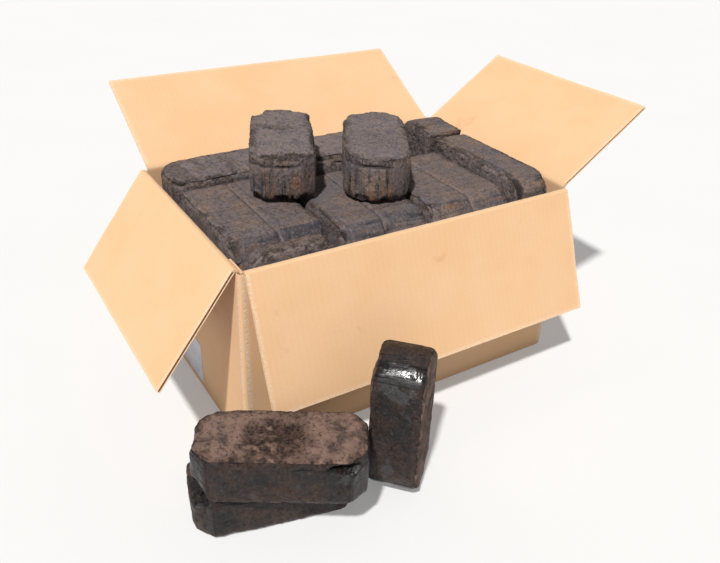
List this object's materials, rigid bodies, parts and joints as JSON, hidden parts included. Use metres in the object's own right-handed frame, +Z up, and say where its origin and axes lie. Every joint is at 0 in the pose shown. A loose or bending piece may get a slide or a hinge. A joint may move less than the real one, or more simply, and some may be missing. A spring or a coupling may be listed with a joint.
{
  "type": "carton of fuel briquettes",
  "caption": "Open corrugated carton heaped with pressed fuel briquettes; hinged top flaps, loose briquettes on top, in the load and stacked in front.",
  "frame": {"origin": "centre of the carton's underside", "axes": "+X along the front wall to the right (longest), +Y from the front wall to the back wall, +Z up"},
  "size_m": [0.6994, 0.6369, 0.3396],
  "materials": {
    "board": "matte",
    "briquette": "matte",
    "tape": "satin",
    "label": "matte"
  },
  "bodies": {
    "carton": {"back_left": "briquette", "back_left_slab": "briquette", "back_middle": "briquette", "back_middle_slab": "briquette", "back_wall": "board", "blank_label": "label", "bottom_flap_back": "board", "bottom_flap_front": "board", "bottom_flap_left": "board", "bottom_flap_right": "board", "bottom_tape": "tape", "front_wall": "board", "glue_tab": "board", "inner_slab": "briquette", "layer1_column1": "briquette", "layer1_column2": "briquette", "layer1_column3": "briquette", "layer1_column4": "briquette", "layer1_column5": "briquette", "layer1_column6": "briquette", "layer1_row1_1": "briquette", "layer1_row1_2": "briquette", "layer1_row2_1": "briquette", "layer1_row2_2": "briquette", "layer2_column1": "briquette", "layer2_column2": "briquette", "layer2_column3": "briquette", "layer2_column4": "briquette", "layer2_column5": "briquette", "layer2_column6": "briquette", "layer2_row1_1": "briquette", "layer2_row1_2": "briquette", "layer2_row2_1": "briquette", "layer2_row2_2": "briquette", "left_inner": "briquette", "left_wall": "board", "middle_left": "briquette", "middle_right": "briquette", "right_inner": "briquette", "right_stack_1": "briquette", "right_stack_2": "briquette", "right_stack_3": "briquette", "right_wall": "board", "upright_1": "briquette", "upright_2": "briquette"},
    "top_flap_front": {"top_flap_front": "board"},
    "top_flap_back": {"top_flap_back": "board"},
    "top_flap_left": {"top_flap_left": "board"},
    "top_flap_right": {"top_flap_right": "board"},
    "front_left_slab": {"front_left_slab": "briquette"},
    "left_outer": {"left_outer": "briquette"},
    "right_outer": {"right_outer": "briquette"},
    "right_proud": {"right_proud": "briquette"},
    "back_right_half": {"back_right_half": "briquette"},
    "top_left": {"top_left": "briquette"},
    "top_right": {"top_right": "briquette"},
    "front_standing": {"front_standing": "briquette"},
    "front_lower": {"front_lower": "briquette"},
    "front_upper": {"front_upper": "briquette"}
  },
  "joints": [
    {"name": "front_flap_hinge", "type": "hinge", "parent": "carton", "child": "top_flap_front", "pos_m": [0, -0.157, 0.249], "axis": [1, 0, 0], "range_deg": [-1, 17]},
    {"name": "back_flap_hinge", "type": "hinge", "parent": "carton", "child": "top_flap_back", "pos_m": [0, 0.157, 0.249], "axis": [-1, 0, 0], "range_deg": [-61.3, 113.7]},
    {"name": "left_flap_hinge", "type": "hinge", "parent": "carton", "child": "top_flap_left", "pos_m": [-0.235, 0, 0.249], "axis": [0, -1, 0], "range_deg": [-143, 32]},
    {"name": "right_flap_hinge", "type": "hinge", "parent": "carton", "child": "top_flap_right", "pos_m": [0.235, 0, 0.249], "axis": [0, 1, 0], "range_deg": [-56, 119]},
    {"name": "front_left_slab_lift", "type": "slide", "parent": "carton", "child": "front_left_slab", "axis": [0, 0, 1], "range_m": [0, 0.25]},
    {"name": "left_outer_lift", "type": "slide", "parent": "carton", "child": "left_outer", "axis": [0, 0, 1], "range_m": [0, 0.25]},
    {"name": "right_outer_lift", "type": "slide", "parent": "carton", "child": "right_outer", "axis": [0, 0, 1], "range_m": [0, 0.25]},
    {"name": "right_proud_lift", "type": "slide", "parent": "carton", "child": "right_proud", "axis": [0, 0, 1], "range_m": [0, 0.25]},
    {"name": "back_right_half_lift", "type": "slide", "parent": "carton", "child": "back_right_half", "axis": [0, 0, 1], "range_m": [0, 0.25]},
    {"name": "top_left_lift", "type": "slide", "parent": "carton", "child": "top_left", "axis": [0, 0, 1], "range_m": [0, 0.25]},
    {"name": "top_right_lift", "type": "slide", "parent": "carton", "child": "top_right", "axis": [0, 0, 1], "range_m": [0, 0.25]},
    {"name": "front_standing_lift", "type": "slide", "parent": "carton", "child": "front_standing", "axis": [0, 0, 1], "range_m": [0, 0.25]},
    {"name": "front_lower_pull", "type": "slide", "parent": "carton", "child": "front_lower", "axis": [-0.2334, -0.9724, 0], "range_m": [0, 0.2]},
    {"name": "front_upper_lift", "type": "slide", "parent": "front_lower", "child": "front_upper", "axis": [0, 0, 1], "range_m": [0, 0.2]}
  ]
}
